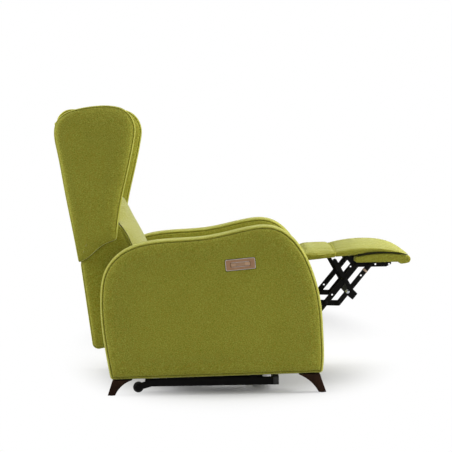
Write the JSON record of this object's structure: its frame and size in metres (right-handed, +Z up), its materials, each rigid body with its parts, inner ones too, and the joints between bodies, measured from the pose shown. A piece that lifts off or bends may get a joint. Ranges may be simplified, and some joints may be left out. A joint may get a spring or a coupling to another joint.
{
  "type": "power recliner",
  "caption": "Upholstered power recliner with padded wings, curved arms, scissor-linked footrest and motor-driven reclining back on a wheeled steel base.",
  "frame": {"origin": "on the floor, under the centre of the chair's overall length and width", "axes": "+X forwards, the way the sitter faces, towards the tip of the raised footrest; +Y to the sitter's left; +Z up"},
  "size_m": [1.3964, 0.764, 1.125],
  "materials": {
    "upholstery": "woven olive green fabric over foam",
    "frame_timber": "sawn timber",
    "webbing": "woven elastic strap",
    "leg_timber": "dark brown stain, satin",
    "black_steel": "black powder coat",
    "plated_steel": "zinc plated",
    "rod_steel": "drawn, satin",
    "black_plastic": "moulded, fine grain",
    "plate_paint": "copper brown, satin",
    "button_plastic": "smooth"
  },
  "bodies": {
    "base": {"arm_cover_right": "upholstery", "arm_cover_left": "upholstery", "arm_frames": "frame_timber", "front_legs": "leg_timber", "rear_legs": "leg_timber", "leg_glides": "black_plastic", "base_rails": "black_steel", "base_cross_tubes": "black_steel", "tube_end_caps": "black_plastic", "wheel_forks": "black_steel", "arm_brackets": "black_steel", "side_plate_right": "black_steel", "side_plate_left": "black_steel", "mech_cross_tubes": "black_steel", "torque_bushes": "black_plastic", "seat_frame": "frame_timber", "seat_webbing": "webbing", "seat_cushion": "upholstery", "control_plate": "plate_paint", "switch_housing": "black_plastic", "control_box": "black_plastic", "back_pivot_bolts": "plated_steel", "actuator_mounts": "black_steel", "foot_actuator": "black_plastic", "back_actuator": "black_plastic"},
    "wheel_right": {"transport_wheel_right": "black_plastic"},
    "wheel_left": {"transport_wheel_left": "black_plastic"},
    "recline_button": {"button_recline": "button_plastic"},
    "footrest_button": {"button_footrest": "button_plastic"},
    "back": {"back_shell": "upholstery", "back_frame": "frame_timber", "back_webbing": "webbing", "outer_back_panel": "upholstery", "lumbar_cushion": "upholstery", "head_cushion": "upholstery", "back_arms": "black_steel", "back_lever": "black_steel", "wing_right": "upholstery", "wing_left": "upholstery"},
    "crank": {"torque_tube": "black_steel", "crank_arm_right": "black_steel", "crank_arm_left": "black_steel", "crank_pins": "plated_steel"},
    "first_links": {"link_one_right": "black_steel", "link_one_left": "black_steel", "prop_pins": "plated_steel"},
    "second_links": {"link_two_right": "black_steel", "link_two_left": "black_steel", "tie_bar": "black_steel"},
    "props": {"flap_props": "black_steel"},
    "footrest": {"foot_bracket_right": "black_steel", "foot_bracket_left": "black_steel", "bracket_pins": "plated_steel", "footrest_wrap": "upholstery", "footrest_board": "frame_timber", "leg_pad": "upholstery", "flap_pad": "upholstery", "flap_board": "frame_timber"},
    "foot_rod": {"foot_actuator_rod": "rod_steel"},
    "back_rod": {"back_actuator_rod": "rod_steel"}
  },
  "joints": [
    {"name": "footrest_fold", "type": "hinge", "parent": "base", "child": "crank", "pos_m": [0.165, 0, 0.34], "axis": [0, 1, 0], "range_deg": [0, 90]},
    {"name": "first_link_swing", "type": "hinge", "parent": "crank", "child": "first_links", "pos_m": [0.36106, 0, 0.33247], "axis": [0, -1, 0], "range_deg": [0, 101.9]},
    {"name": "footrest_tilt", "type": "hinge", "parent": "first_links", "child": "footrest", "pos_m": [0.48421, 0, 0.47976], "axis": [0, 1, 0], "range_deg": [0, 101.9]},
    {"name": "second_link_swing", "type": "hinge", "parent": "crank", "child": "second_links", "pos_m": [0.41202, 0, 0.33051], "axis": [0, -1, 0], "range_deg": [0, 101.9]},
    {"name": "prop_swing", "type": "hinge", "parent": "first_links", "child": "props", "pos_m": [0.43901, 0, 0.42571], "axis": [0, 1, 0], "range_deg": [0, 54.4]},
    {"name": "foot_rod_slide", "type": "slide", "parent": "base", "child": "foot_rod", "axis": [-1, 0, 0], "range_m": [0, 0.0708]},
    {"name": "back_recline", "type": "hinge", "parent": "base", "child": "back", "pos_m": [-0.33, 0, 0.4], "axis": [0, -1, 0], "range_deg": [0, 28]},
    {"name": "back_rod_slide", "type": "slide", "parent": "base", "child": "back_rod", "axis": [1, 0, 0], "range_m": [0, 0.0533]},
    {"name": "wheel_right_spin", "type": "hinge", "parent": "base", "child": "wheel_right", "pos_m": [-0.381, -0.29, 0.0215], "axis": [0, 1, 0], "continuous": true},
    {"name": "wheel_left_spin", "type": "hinge", "parent": "base", "child": "wheel_left", "pos_m": [-0.381, 0.29, 0.0215], "axis": [0, 1, 0], "continuous": true},
    {"name": "recline_button_press", "type": "slide", "parent": "base", "child": "recline_button", "axis": [0, 1, 0], "range_m": [0, 0.0015], "stiffness_N_per_m": 400},
    {"name": "footrest_button_press", "type": "slide", "parent": "base", "child": "footrest_button", "axis": [0, 1, 0], "range_m": [0, 0.0015], "stiffness_N_per_m": 400}
  ],
  "couplings": [
    {"joint": "first_link_swing", "follows": "footrest_fold", "ratio": 1.1322},
    {"joint": "footrest_tilt", "follows": "footrest_fold", "ratio": 1.1322},
    {"joint": "second_link_swing", "follows": "footrest_fold", "ratio": 1.1322},
    {"joint": "prop_swing", "follows": "footrest_fold", "ratio": 0.60444},
    {"joint": "foot_rod_slide", "follows": "footrest_fold", "m_per_rad": 0.045016},
    {"joint": "back_rod_slide", "follows": "back_recline", "m_per_rad": 0.10891}
  ]
}
